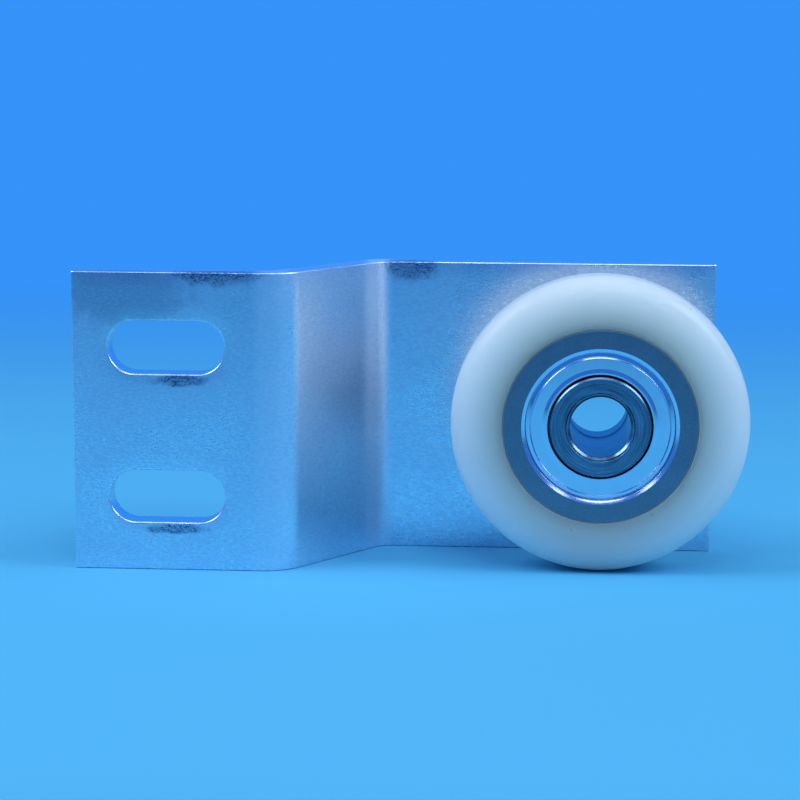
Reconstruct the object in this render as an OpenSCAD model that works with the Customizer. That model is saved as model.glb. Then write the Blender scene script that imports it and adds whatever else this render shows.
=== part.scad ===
// Sliding door roller: a ball bearing with a nylon tyre, riveted to an offset steel
// bracket.
//
// The origin is the centre of the roller, which turns about the Y axis. -Y is the
// side of the bracket's mounting flange, +X is the roller's end of the bracket and
// +Z is up. All sizes are in millimetres.

/* [Bracket] */
// Length of the bracket from end to end
bracket_length = 122; // [112:1:172]
// Height of the bracket
bracket_height = 57; // [48:1:76]
// Thickness of the steel plate
plate_thickness = 5; // [3:0.5:6]
// Length of the flange that is bolted to the door, up to its sharp corner
mounting_flange_length = 40; // [36:1:52]
// Step from one flange to the other, front face to front face
flange_offset = 23.5; // [20:0.5:32]
// Slope of the web between the flanges, in degrees
web_angle = 54; // [45:1:65]
// Inside radius of the two bends
bend_radius = 4; // [3:0.5:6]
// Radius that the punch rolls onto the front edge of each hole and slot
rolled_edge = 0.3; // [0.2:0.1:0.8]

/* [Slots] */
// Length of a slot from end to end
slot_length = 22; // [16:0.5:27]
// Width of a slot
slot_width = 10; // [7:0.5:13]
// Distance between the centre lines of the slots
slot_spacing = 28.5; // [22:0.5:34]
// Distance from the end of the bracket to the centres of the slots
slot_from_end = 17.8; // [15:0.1:20]

/* [Axle] */
// Distance from the end of the bracket to the centre of the roller
axle_from_end = 22.5; // [16:0.5:28]
// Bore of the rivet sleeve
sleeve_bore = 11.5; // [9.5:0.25:12]
// Wall of the rivet sleeve
sleeve_wall = 0.45; // [0.4:0.05:0.8]
// How far the sleeve swells, on the radius, where the spacer leaves it room
sleeve_swell = 0.2; // [0.1:0.05:0.3]
// Diameter of the head that is formed on the sleeve behind the plate
rivet_head_diameter = 16; // [15.5:0.5:20]
// Outside diameter of the spacer
spacer_diameter = 16.5; // [15:0.5:19]

/* [Bearing] */
// Outside diameter of the outer ring
outer_ring_diameter = 37; // [36:0.5:44]
// Width of the outer ring
outer_ring_width = 12; // [11:0.5:13]
// Outside diameter of the inner ring where it shows in the shields
hub_diameter = 19; // [18:0.1:19.4]
// Width of the inner ring
hub_width = 12.6; // [10.6:0.2:15.2]
// How far the inner ring's front face lies behind the front of the mounting flange
hub_inset = 1.5; // [0:0.1:3]
// Number of balls
ball_count = 10; // [6:1:10]
// Diameter of a ball
ball_diameter = 4.763; // [4.5:0.001:4.8]
// Diameter of the circle through the centres of the balls
pitch_diameter = 23.8; // [23.6:0.1:24.2]
// Thickness of the shields
shield_sheet = 0.3; // [0.2:0.05:0.35]
// Thickness of the cage
cage_sheet = 0.35; // [0.2:0.05:0.4]
// Width of the cage's band, from its inner edge to its outer edge
cage_band = 2; // [1.8:0.1:2.3]

/* [Tyre] */
// Diameter over the tread
roller_diameter = 56.5; // [52:0.5:70]
// Width of the tyre
tyre_width = 12.8; // [12:0.1:16]
// Radius of the shoulders of the tyre
shoulder_radius = 4.2; // [2:0.1:5]

/* [Hidden] */
$fn = 96;
cut = 1; // how far a cutting shape runs past what it cuts

// Clearances, on the radius
sleeve_fit = 0.02;  // sleeve in the inner ring, the spacer and the plate
ball_play = 0.02;   // ball in its tracks
pocket_play = 0.05; // ball in its pocket of the cage
shield_fit = 0.03;  // shield in the outer ring
moulded_fit = 0.02; // tyre on the outer ring
rivet_fit = 0.02;   // small rivet in the cage

// Stations along the roller's axis
hub_face = hub_width / 2;
mounting_front = -hub_face - hub_inset;
roller_flange_front = mounting_front + flange_offset;
roller_flange_back = roller_flange_front + plate_thickness;

// Bracket, along X and through its two bends
mounting_end = axle_from_end - bracket_length;
outer_bend_radius = bend_radius + plate_thickness;
outer_setback = outer_bend_radius * tan(web_angle / 2);
inner_setback = bend_radius * tan(web_angle / 2);
first_corner = mounting_end + mounting_flange_length;
second_corner = first_corner + flange_offset / tan(web_angle);
first_bend_centre = [first_corner - outer_setback, mounting_front + outer_bend_radius];
second_bend_centre = [second_corner + inner_setback, roller_flange_front - bend_radius];
bend_steps = 12;

// Rivet sleeve and the bores that it passes through
bore_radius = sleeve_bore / 2;
sleeve_radius = bore_radius + sleeve_wall;
seat_radius = sleeve_radius + sleeve_fit;
bore_chamfer = 0.35;     // in the inner ring
front_lip = 0.45;        // how far the front end of the sleeve is opened
front_lip_wall = 0.2;
front_lip_depth = 0.12;
rear_flare = 0.2;        // how far the bore opens inside the head
rear_flare_length = 1.2;
head_height = 2.6;
head_edge = 0.5;
head_dish = 0.4;         // how far the bore opens on at the end of the head
swell_slope = 0.5;       // length of the slope at each end of the swelling

// Ball tracks
ball_radius = ball_diameter / 2;
pitch_radius = pitch_diameter / 2;
track_radius = 0.52 * ball_diameter;
track_depth = 0.6;
inner_track_centre = pitch_radius - ball_radius - ball_play + track_radius;
outer_track_centre = pitch_radius + ball_radius + ball_play - track_radius;
inner_shoulder_radius = inner_track_centre - track_radius + track_depth;
inner_shoulder_half_width = 2.6;
outer_shoulder_radius = outer_track_centre + track_radius - track_depth;
hub_edge = 0.3;          // chamfer round the inner ring's faces

// Outer ring. Each shield lies in a recess, whose mouth is bevelled and turned over
// its rim.
outer_ring_radius = outer_ring_diameter / 2;
outer_ring_face = outer_ring_width / 2;
ring_edge = 0.3;
recess_radius = pitch_radius + 2.93;
mouth_radius = recess_radius - 0.63;
mouth_bevel = 0.3;       // depth of the bevel, from the ring's face
mouth_depth = 0.8;       // how far in the mouth reaches over the rim
key_station = 3;         // grooves round the ring that hold the tyre
key_width = 1.6;
key_depth = 0.4;

// Depths of a shield's outer face behind the face of the outer ring
lip_depth = 0.45;
pan_depth = 0.6;
step_depth = 0.85;
band_depth = 0.97;
crevice_depth = 1.05;
rim_depth = 0.85;
ledge_depth = crevice_depth + shield_sheet + shield_fit;
shield_outer_radius = recess_radius - shield_fit;
shield_bore_radius = hub_diameter / 2 + 0.45;

// Cage
cage_inner_radius = pitch_radius - cage_band / 2;
pocket_radius = ball_radius + pocket_play;
cage_split = 0.005;      // from each half to the middle plane
cage_rivet_radius = 0.4;
cage_rivet_head_radius = 0.7;
cage_rivet_head = 0.3;
ball_step = 360 / ball_count;

// Tyre
tyre_radius = roller_diameter / 2;
tyre_half_width = tyre_width / 2;
tyre_bore_radius = outer_ring_radius + moulded_fit;
tyre_hub_half_width = outer_ring_face - 0.05;
bore_edge = 0.25;        // chamfer where the nylon meets the ring's chamfer
shoulder_centre = tyre_radius - shoulder_radius;
tread_half_width = tyre_half_width - shoulder_radius;
dish_radius = (outer_ring_radius + shoulder_centre) / 2;

BALLS = [for (i = [1:ball_count]) str("ball_", i)];

// Finishes
zinc = [0.78, 0.82, 0.85];
turned_steel = [0.62, 0.66, 0.70];
ground_steel = [0.36, 0.40, 0.44];
bright_steel = [0.86, 0.90, 0.94];
nylon = [0.89, 0.91, 0.86];

// Lays a shape's Z axis along +Y.
module along_y() {
    rotate([-90, 0, 0])
        children();
}

// Turns a profile about the roller's axis. Its x is the radius and its y lies along +Y.
module turned() {
    along_y()
        rotate_extrude()
            children();
}

// Draws a shape as it is, and again mirrored to the other side of y = 0.
module both_sides() {
    for (side = [0, 1])
        mirror([0, side, 0])
            children();
}

// What a rounded corner takes off. The corner is at the origin, in the +x +y quarter.
module round_waste(radius) {
    difference() {
        translate([-cut, -cut])
            square(radius + cut);
        translate([radius, radius])
            circle(radius);
    }
}

// What a chamfer takes off the same corner.
module chamfer_waste(size) {
    polygon([[-cut, -cut], [size + cut, -cut], [-cut, size + cut]]);
}

// ---- Bracket ----

// Points on an arc in the plan, from one angle through a sweep.
function arc(centre, radius, start, sweep) =
    [for (i = [0:bend_steps])
        centre + radius * [cos(start + sweep * i / bend_steps),
                           sin(start + sweep * i / bend_steps)]];

// Strip bent twice to the same angle, once each way, seen along Z. The front path
// runs from the mounting end to the roller's end, and the back path returns.
module bent_strip() {
    front = concat(
        [[mounting_end, mounting_front]],
        arc(first_bend_centre, outer_bend_radius, -90, web_angle),
        arc(second_bend_centre, bend_radius, 90 + web_angle, -web_angle),
        [[axle_from_end, roller_flange_front]]);
    back = concat(
        [[axle_from_end, roller_flange_back]],
        arc(second_bend_centre, outer_bend_radius, 90, web_angle),
        arc(first_bend_centre, bend_radius, web_angle - 90, -web_angle),
        [[mounting_end, mounting_front + plate_thickness]]);
    linear_extrude(bracket_height, center = true)
        polygon(concat(front, back));
}

// Punched round hole through the plate. The origin is on the plate's front face.
module punched_hole(radius) {
    along_y()
        translate([0, 0, -cut])
            cylinder(r = radius, h = plate_thickness + 2 * cut);
    turned()
        translate([radius, 0])
            round_waste(rolled_edge);
}

// Punched slot along X, with the same rolled edge all round.
module punched_slot() {
    straight = slot_length - slot_width;
    for (end = [-1, 1])
        translate([end * straight / 2, 0, 0])
            punched_hole(slot_width / 2);
    translate([-straight / 2, -cut, -slot_width / 2])
        cube([straight, plate_thickness + 2 * cut, slot_width]);
    for (side = [0, 1])
        mirror([0, 0, side])
            translate([straight / 2, 0, slot_width / 2])
                rotate([0, -90, 0])
                    linear_extrude(straight)
                        round_waste(rolled_edge);
}

module bracket_plate() {
    color(zinc)
        difference() {
            bent_strip();
            for (side = [-1, 1])
                translate([mounting_end + slot_from_end, mounting_front,
                           side * slot_spacing / 2])
                    punched_slot();
            translate([0, roller_flange_front, 0])
                punched_hole(seat_radius);
        }
}

// ---- Axle ----

// Thin sleeve that is riveted over at both ends. It swells into the spacer's bore,
// so that the bore shows a shallow ring there.
module axle_sleeve() {
    swell_start = hub_face - bore_chamfer;
    swell_end = roller_flange_front;
    color(turned_steel)
        turned()
            polygon([
                [bore_radius + front_lip, -hub_face],
                [bore_radius, -hub_face + front_lip],
                [bore_radius, swell_start],
                [bore_radius + sleeve_swell, swell_start + swell_slope],
                [bore_radius + sleeve_swell, swell_end - swell_slope],
                [bore_radius, swell_end],
                [bore_radius, roller_flange_back],
                [bore_radius + rear_flare, roller_flange_back + rear_flare_length],
                [bore_radius + rear_flare, roller_flange_back + head_height - head_dish],
                [bore_radius + rear_flare + head_dish, roller_flange_back + head_height],
                [rivet_head_diameter / 2 - head_edge, roller_flange_back + head_height],
                [rivet_head_diameter / 2, roller_flange_back + head_height - head_edge],
                [rivet_head_diameter / 2, roller_flange_back],
                [sleeve_radius, roller_flange_back],
                [sleeve_radius, swell_end],
                [sleeve_radius + sleeve_swell, swell_end - swell_slope],
                [sleeve_radius + sleeve_swell, swell_start + swell_slope + bore_chamfer],
                [sleeve_radius, swell_start + bore_chamfer],
                [sleeve_radius, -hub_face + bore_chamfer],
                [bore_radius + front_lip + front_lip_wall, -hub_face + front_lip_depth],
                [bore_radius + front_lip + front_lip_wall, -hub_face]
            ]);
}

// Turned collar between the inner ring and the plate.
module spacer_collar() {
    inner = sleeve_radius + sleeve_swell + sleeve_fit;
    outer = spacer_diameter / 2;
    edge = 0.4;
    color(turned_steel)
        turned()
            difference() {
                translate([inner, hub_face])
                    square([outer - inner, roller_flange_front - hub_face]);
                translate([outer, hub_face])
                    mirror([1, 0, 0])
                        chamfer_waste(edge);
                translate([outer, roller_flange_front])
                    rotate(180)
                        chamfer_waste(edge);
            }
}

// ---- Bearing ----

module bearing_inner_ring() {
    color(turned_steel)
        turned()
            difference() {
                union() {
                    translate([seat_radius, -hub_face])
                        square([hub_diameter / 2 - seat_radius, hub_width]);
                    translate([seat_radius, -inner_shoulder_half_width])
                        square([inner_shoulder_radius - seat_radius,
                                2 * inner_shoulder_half_width]);
                }
                translate([inner_track_centre, 0])
                    circle(track_radius);
                both_sides() {
                    translate([seat_radius, -hub_face])
                        chamfer_waste(bore_chamfer);
                    translate([hub_diameter / 2, -hub_face])
                        mirror([1, 0, 0])
                            chamfer_waste(hub_edge);
                }
            }
}

module bearing_outer_ring() {
    color(ground_steel)
        turned()
            difference() {
                translate([outer_shoulder_radius, -outer_ring_face])
                    square([outer_ring_radius - outer_shoulder_radius, outer_ring_width]);
                translate([outer_track_centre, 0])
                    circle(track_radius);
                both_sides() {
                    translate([outer_ring_radius, -outer_ring_face])
                        mirror([1, 0, 0])
                            chamfer_waste(ring_edge);
                    translate([0, -outer_ring_face])
                        polygon([
                            [0, -cut], [recess_radius, -cut], [recess_radius, 0],
                            [mouth_radius, mouth_bevel], [mouth_radius, mouth_depth],
                            [recess_radius, mouth_depth], [recess_radius, ledge_depth],
                            [0, ledge_depth]
                        ]);
                    translate([outer_ring_radius - key_depth, -key_station - key_width / 2])
                        square([key_depth + cut, key_width]);
                }
            }
}

// Pressed shield of even thickness. It stands highest at its lip beside the inner
// ring, and steps down from a flat pan to a sloping band and a rim held by the mouth.
module shield() {
    outer_face = [
        [shield_outer_radius, rim_depth],
        [recess_radius - 0.3, rim_depth],
        [mouth_radius, crevice_depth],
        [mouth_radius - 0.2, band_depth],
        [mouth_radius - 0.9, step_depth],
        [mouth_radius - 1.2, pan_depth],
        [shield_bore_radius + 1, pan_depth],
        [shield_bore_radius + 0.35, lip_depth],
        [shield_bore_radius, lip_depth]
    ];
    last = len(outer_face) - 1;
    inner_face = [for (i = [last:-1:0]) outer_face[i] + [0, shield_sheet]];
    color(bright_steel)
        turned()
            translate([0, -outer_ring_face])
                polygon(concat(outer_face, inner_face));
}

module shield_front() {
    shield();
}

module shield_back() {
    mirror([0, 1, 0])
        shield();
}

// Places a shape on the pitch circle at an angle, counted from +Z towards +X.
module on_pitch_circle(angle) {
    rotate([0, angle, 0])
        translate([0, 0, pitch_radius])
            children();
}

// One pressed half of the cage, on the -Y side: flat lands between round pockets.
module cage_half() {
    color(turned_steel)
        difference() {
            intersection() {
                turned()
                    translate([cage_inner_radius, -pocket_radius - cut])
                        square([cage_band, pocket_radius + cut - cage_split]);
                union() {
                    turned()
                        translate([cage_inner_radius - cut, -cage_split - cage_sheet])
                            square([cage_band + 2 * cut, cage_sheet + cut]);
                    for (i = [1:ball_count])
                        on_pitch_circle(i * ball_step)
                            sphere(pocket_radius + cage_sheet);
                }
            }
            for (i = [1:ball_count]) {
                on_pitch_circle(i * ball_step)
                    sphere(pocket_radius);
                on_pitch_circle((i + 0.5) * ball_step)
                    along_y()
                        cylinder(r = cage_rivet_radius + rivet_fit, h = 2 * cut,
                                 center = true);
            }
        }
}

module cage_front() {
    cage_half();
}

module cage_back() {
    mirror([0, 1, 0])
        cage_half();
}

// Small rivets that close the cage, one between each ball and the next.
module cage_rivets() {
    land_face = cage_split + cage_sheet;
    color(turned_steel)
        for (i = [1:ball_count])
            on_pitch_circle((i + 0.5) * ball_step)
                along_y() {
                    cylinder(r = cage_rivet_radius, h = 2 * land_face, center = true);
                    for (side = [0, 1])
                        mirror([0, 0, side])
                            translate([0, 0, land_face])
                                cylinder(r1 = cage_rivet_head_radius,
                                         r2 = cage_rivet_radius, h = cage_rivet_head);
                }
}

module ball(number) {
    color(bright_steel)
        on_pitch_circle(number * ball_step)
            sphere(ball_radius);
}

// ---- Tyre ----

// Nylon moulded round the outer ring, with two ribs that lock into its grooves.
module nylon_tyre() {
    color(nylon)
        turned() {
            polygon([
                [tyre_bore_radius, -tyre_hub_half_width + bore_edge],
                [tyre_bore_radius + bore_edge, -tyre_hub_half_width],
                [dish_radius, -tyre_half_width],
                [shoulder_centre, -tyre_half_width],
                [shoulder_centre, tyre_half_width],
                [dish_radius, tyre_half_width],
                [tyre_bore_radius + bore_edge, tyre_hub_half_width],
                [tyre_bore_radius, tyre_hub_half_width - bore_edge]
            ]);
            translate([shoulder_centre, -tread_half_width])
                square([shoulder_radius, 2 * tread_half_width]);
            both_sides() {
                translate([shoulder_centre, tread_half_width])
                    circle(shoulder_radius);
                translate([tyre_bore_radius - key_depth,
                           key_station - key_width / 2 + moulded_fit])
                    square([key_depth + cut, key_width - 2 * moulded_fit]);
            }
        }
}

bracket_plate();
axle_sleeve();
spacer_collar();
bearing_inner_ring();
bearing_outer_ring();
shield_front();
shield_back();
nylon_tyre();
cage_front();
cage_back();
cage_rivets();
for (i = [1:ball_count])
    ball(i);
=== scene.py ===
"""Sliding door roller: a ball bearing with a nylon tyre, riveted to an offset steel
bracket.

The origin is the centre of the roller, which turns about the Y axis. -Y is the side of
the bracket's mounting flange, +X is the roller's end of the bracket and +Z is up.
"""
import math

import bmesh
import bpy
import numpy as np
from bpy.props import FloatProperty, FloatVectorProperty, IntProperty, PointerProperty
from mathutils import Matrix, Vector


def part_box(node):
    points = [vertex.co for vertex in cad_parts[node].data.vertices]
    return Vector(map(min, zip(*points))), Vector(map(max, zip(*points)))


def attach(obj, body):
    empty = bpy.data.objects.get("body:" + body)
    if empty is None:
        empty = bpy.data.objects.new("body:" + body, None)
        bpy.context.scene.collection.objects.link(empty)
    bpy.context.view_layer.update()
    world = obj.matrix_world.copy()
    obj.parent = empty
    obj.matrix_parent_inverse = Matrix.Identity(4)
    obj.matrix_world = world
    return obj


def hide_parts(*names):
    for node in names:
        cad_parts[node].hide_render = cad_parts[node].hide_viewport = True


bl_info = {
    "name": "Sliding door roller",
    "version": (1, 0, 0),
    "blender": (4, 5, 0),
    "location": "View3D > Sidebar > Door roller",
    "description": "Makes a sliding door roller: tyre, ball bearing, rivet and bracket",
    "category": "Add Mesh",
}

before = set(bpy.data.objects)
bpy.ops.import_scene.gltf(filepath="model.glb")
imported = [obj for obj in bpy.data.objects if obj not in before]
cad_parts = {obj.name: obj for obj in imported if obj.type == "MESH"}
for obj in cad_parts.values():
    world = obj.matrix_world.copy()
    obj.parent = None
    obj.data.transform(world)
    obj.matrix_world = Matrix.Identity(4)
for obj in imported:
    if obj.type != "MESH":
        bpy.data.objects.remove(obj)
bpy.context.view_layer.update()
MM = 0.001

BRACKET_LOW, BRACKET_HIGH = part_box("bracket_plate")
HUB_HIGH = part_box("bearing_inner_ring")[1]
RING_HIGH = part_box("bearing_outer_ring")[1]
TYRE_LOW, TYRE_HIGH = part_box("nylon_tyre")
SLEEVE_LOW, SLEEVE_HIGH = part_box("axle_sleeve")
SPACER_LOW, SPACER_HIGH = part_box("spacer_collar")

# Points of a mesh that are closer than this become one
MERGE = 0.001 * MM
# Gap between pieces that fit tightly
GAP = 0.02 * MM
# Grooves round the outer ring, which hold the tyre's ribs: depth, and the distances of
# their walls from the roller's middle
GROOVE_DEPTH = 0.4 * MM
GROOVE_NEAR, GROOVE_FAR = 2.2 * MM, 3.8 * MM
# Radius of a ball track's section as a share of the ball's diameter
TRACK_SHARE = 0.52


# ---- Sizes and colours that a user would change ----

def length(name, description, default):
    """A size in metres, shown in the scene's unit of length."""
    return FloatProperty(name=name, description=description, default=default,
                         min=0.0, subtype="DISTANCE", unit="LENGTH", precision=5)


def rotation(name, description, default):
    """An angle in radians, shown in the scene's unit of rotation."""
    return FloatProperty(name=name, description=description, default=default,
                         subtype="ANGLE", unit="ROTATION")


def colour(name, description, default):
    """A colour that a finish or a light is made from."""
    return FloatVectorProperty(name=name, description=description, default=default,
                               size=3, min=0.0, max=1.0, subtype="COLOR")


class BracketSizes(bpy.types.PropertyGroup):
    """Sizes of the bent plate."""
    sheet: length("Thickness", "Thickness of the steel plate", 5 * MM)
    mounting_flange: length("Mounting flange",
                            "Length of the mounting flange up to its sharp corner", 40 * MM)
    inside_bend: length("Bend radius", "Inside radius of the two bends", 4 * MM)
    web_slope: rotation("Web slope", "Slope of the web between the flanges", math.radians(54))
    slot_length: length("Slot length", "Length of a slot from end to end", 22 * MM)
    slot_width: length("Slot width", "Width of a slot", 10 * MM)
    slot_spacing: length("Slot spacing", "Distance between the slots' centre lines", 28.5 * MM)
    slot_from_end: length("Slot position", "From the bracket's end to the slots' centres",
                          17.8 * MM)
    front_roll: length("Rolled edge", "Radius that the punch rolls onto the front of a hole",
                       0.42 * MM)
    outline_roll: length("Outline edge", "Radius left on the front of the outline", 0.25 * MM)
    back_edge: length("Back edge", "Radius left on the back edges", 0.12 * MM)
    draw_in: length("Draw-in", "How far the front face is drawn in beside a cut edge",
                    0.10 * MM)
    draw_width: length("Draw-in width", "How far from an edge the front face is drawn in",
                       3.2 * MM)


class BearingSizes(bpy.types.PropertyGroup):
    """Sizes of the ball bearing and of the rivet that holds it."""
    seat_radius: length("Seat", "Radius of the inner ring's bore", 6.22 * MM)
    bore_radius: length("Bore", "Radius of the sleeve's bore", 5.75 * MM)
    bore_chamfer: length("Bore chamfer", "Chamfer at each end of the inner ring's bore",
                         0.35 * MM)
    hub_radius: length("Hub", "Radius of the inner ring's two hubs", 9.5 * MM)
    pitch_radius: length("Pitch radius", "Radius of the circle that the balls lie on",
                         11.9 * MM)
    ball_diameter: length("Ball diameter", "Diameter of the balls", 4.763 * MM)
    ball_play: length("Ball play", "Gap between a ball and the bottom of a track", 0.02 * MM)
    track_depth: length("Track depth", "Depth of the tracks below their shoulders", 0.6 * MM)
    recess_radius: length("Shield recess", "Radius of the recesses for the shields",
                          14.83 * MM)
    mouth_radius: length("Recess mouth", "Radius inside the mouth over a shield's rim",
                         14.2 * MM)
    shield_sheet: length("Shield sheet", "Thickness of the shields", 0.3 * MM)
    turned_steps: IntProperty(name="Steps round", description="Steps round a turned piece",
                              default=224, min=24, max=512)


class TyreSizes(bpy.types.PropertyGroup):
    """Sizes of the tyre."""
    shoulder: length("Shoulder radius", "Radius of the tyre's shoulders", 4.2 * MM)
    dish_radius: length("Dish radius", "Where the tyre is widest", 20.2 * MM)
    draft: length("Draft", "How far the side falls back from there to the tread", 0.6 * MM)
    hub_half_width: length("Hub half width", "Half of the tyre's width at the ring", 6.2 * MM)
    bore_radius: length("Tyre bore", "Radius at which the tyre meets the ring", 18.52 * MM)


class Finishes(bpy.types.PropertyGroup):
    """Colours of the metals and of the nylon."""
    zinc: colour("Zinc", "Bright part of the zinc plating", (0.86, 0.94, 1.0))
    zinc_dull: colour("Dull zinc", "Duller grains of the plating", (0.62, 0.72, 0.85))
    ground: colour("Ground steel", "Face of the outer ring", (0.26, 0.31, 0.37))
    turned: colour("Turned steel", "Inner ring, sleeve and spacer", (0.23, 0.37, 0.50))
    shield: colour("Shield", "Bright pressed steel", (0.72, 0.80, 0.92))
    nylon: colour("Nylon", "Milky nylon of the tyre", (0.79, 0.89, 0.87))
    # painted shade: darker, greener nylon near the ring
    nylon_shaded: colour("Shaded nylon", "Nylon near the ring, where it is thickest",
                        (0.69, 0.83, 0.73))
    balls: colour("Balls", "Polished balls", (0.80, 0.83, 0.86))


class StageSettings(bpy.types.PropertyGroup):
    """Floor, lamps, the room's light and the camera."""
    floor: colour("Floor", "Plain blue floor", (0.099, 0.475, 0.78))
    backdrop: colour("Backdrop", "Plain backdrop behind the floor", (0.035, 0.29, 0.95))
    lamps: colour("Lamps", "Light of the lamps", (0.74, 0.87, 1.0))
    world: colour("Room", "Light of the room", (0.36, 0.64, 1.0))
    distance: colour("Distance", "What the camera and the metal see past the backdrop",
                     (0.03, 0.17, 0.58))
    world_strength: FloatProperty(name="Room light", description="Strength of the room's light",
                                  default=0.22, min=0.0, max=4.0)
    eye: FloatVectorProperty(name="Eye", description="Place of the camera",
                             default=(-0.011947, -0.432424, 0.076031), size=3,
                             subtype="TRANSLATION", unit="LENGTH")
    tilt: rotation("Tilt", "How far the camera looks down", 0.16555)
    turn: rotation("Turn", "How far the camera looks to the left", 0.06025)
    roll: rotation("Roll", "Turn of the camera about its own axis", 0.005)
    lens: FloatProperty(name="Lens", description="Focal length of the camera",
                        default=103.62, min=1.0, unit="CAMERA")


# ---- Meshes ----

def quads(rows, columns, start=0):
    """Faces between every four neighbours on a grid whose points count from start."""
    index = start + np.arange(rows * columns).reshape(rows, columns)
    return np.stack([index[:-1, :-1], index[:-1, 1:], index[1:, 1:], index[1:, :-1]],
                    axis=-1).reshape(-1, 4)


def solid_from(name, grids):
    """Closed mesh out of grids of points, each an array of rows by columns by three.

    Grids that share an edge hold the same points there, and those are merged. Faces are
    then turned outwards.
    """
    corners = [grid.reshape(-1, 3) for grid in grids]
    starts = np.cumsum([0] + [len(points) for points in corners])
    faces = [quads(*grid.shape[:2], start) for grid, start in zip(grids, starts)]
    mesh = bpy.data.meshes.new(name)
    mesh.from_pydata(np.concatenate(corners), [], np.concatenate(faces))
    work = bmesh.new()
    work.from_mesh(mesh)
    bmesh.ops.remove_doubles(work, verts=work.verts, dist=MERGE)
    bmesh.ops.dissolve_degenerate(work, edges=work.edges, dist=MERGE / 10)
    bmesh.ops.recalc_face_normals(work, faces=work.faces)
    open_edges = sum(1 for edge in work.edges if not edge.is_manifold)
    work.to_mesh(mesh)
    work.free()
    if open_edges:
        raise RuntimeError(f"{name} has {open_edges} open edges")
    mesh.shade_smooth()
    piece = bpy.data.objects.new(name, mesh)
    bpy.context.scene.collection.objects.link(piece)
    return piece


def finish_piece(piece, body, nodes, material):
    """Gives a new piece its shading, its body and its finish, and hides the nodes it stands for.
    """
    weighted = piece.modifiers.new("weighted normals", "WEIGHTED_NORMAL")
    weighted.weight = 60
    weighted.keep_sharp = True
    piece.data.materials.append(material)
    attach(piece, body)
    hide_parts(*nodes)


def filleted(corners, steps):
    """Closed outline with an arc at each corner.

    Each corner is (radius, station, fillet). The fillet touches both sides at
    fillet / tan(half the corner's angle) from the corner, and its centre lies on the
    corner's bisector at fillet / sin(half the angle). Between the two spokes from the
    centre, which stand at an angle a, the spoke at part t is their sum with the weights
    sin((1 - t) a) / sin a and sin(t a) / sin a. Points that fall together are left out.
    """
    corner = np.array([c[:2] for c in corners], float)
    radius = np.array([c[2] for c in corners], float)
    before, after = np.roll(corner, 1, axis=0) - corner, np.roll(corner, -1, axis=0) - corner
    before /= np.linalg.norm(before, axis=1)[:, None]
    after /= np.linalg.norm(after, axis=1)[:, None]
    half = np.arccos(np.clip((before * after).sum(axis=1), -1, 1)) / 2
    tangent = (radius / np.tan(half))[:, None]
    bisector = before + after
    bisector /= np.maximum(np.linalg.norm(bisector, axis=1), 1e-9)[:, None]
    centre = corner + bisector * (radius / np.sin(half))[:, None]
    start = (corner + before * tangent - centre)[:, None]
    end = (corner + after * tangent - centre)[:, None]
    part = np.linspace(0, 1, steps + 1)[None, :, None]
    sweep = (np.pi - 2 * half)[:, None, None]
    arc = (start * np.sin((1 - part) * sweep) + end * np.sin(part * sweep)) / np.sin(sweep)
    outline = (centre[:, None] + arc).reshape(-1, 2)
    keep = np.linalg.norm(outline - np.roll(outline, 1, axis=0), axis=1) > 2 * MERGE
    return outline[keep]


def mirrored(corners):
    """Corners carried over to the roller's other side, in the opposite order."""
    return [(radius, -station, fillet) for radius, station, fillet in reversed(corners)]


def track(sizes, side, steps=20):
    """Section of a ball track, and the radius of the shoulders beside it. side is 1 for
    the outer ring and -1 for the inner.

    The bottom lies half a ball and the play from the pitch circle. The section is an arc
    that runs through it, about a centre on the roller's middle plane, and ends where it
    meets the shoulders.
    """
    radius = TRACK_SHARE * sizes.ball_diameter
    bottom = sizes.pitch_radius + side * (sizes.ball_diameter / 2 + sizes.ball_play)
    centre, shoulder = bottom - side * radius, bottom - side * sizes.track_depth
    reach = math.acos((shoulder - centre) * side / radius)
    angle = np.linspace(-reach, reach, steps)
    arc = np.stack([centre + side * radius * np.cos(angle), radius * np.sin(angle)], axis=1)
    return arc, shoulder


def turned_piece(name, outline, steps):
    """Outline turned about the roller's axis.

    A point at radius r and station y goes to (r sin a, y, r cos a) for each angle a of
    a full turn, whose last angle counts as the first, so that the seam closes.
    """
    loop = np.concatenate([outline, outline[:1]])
    radius, station = loop[:, :1], loop[:, 1:]
    angle = np.linspace(0, 2 * np.pi, steps + 1) % (2 * np.pi)
    grid = np.stack([radius * np.sin(angle), station + 0 * angle, radius * np.cos(angle)],
                    axis=-1)
    return solid_from(name, [grid])


# ---- Bracket ----

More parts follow.
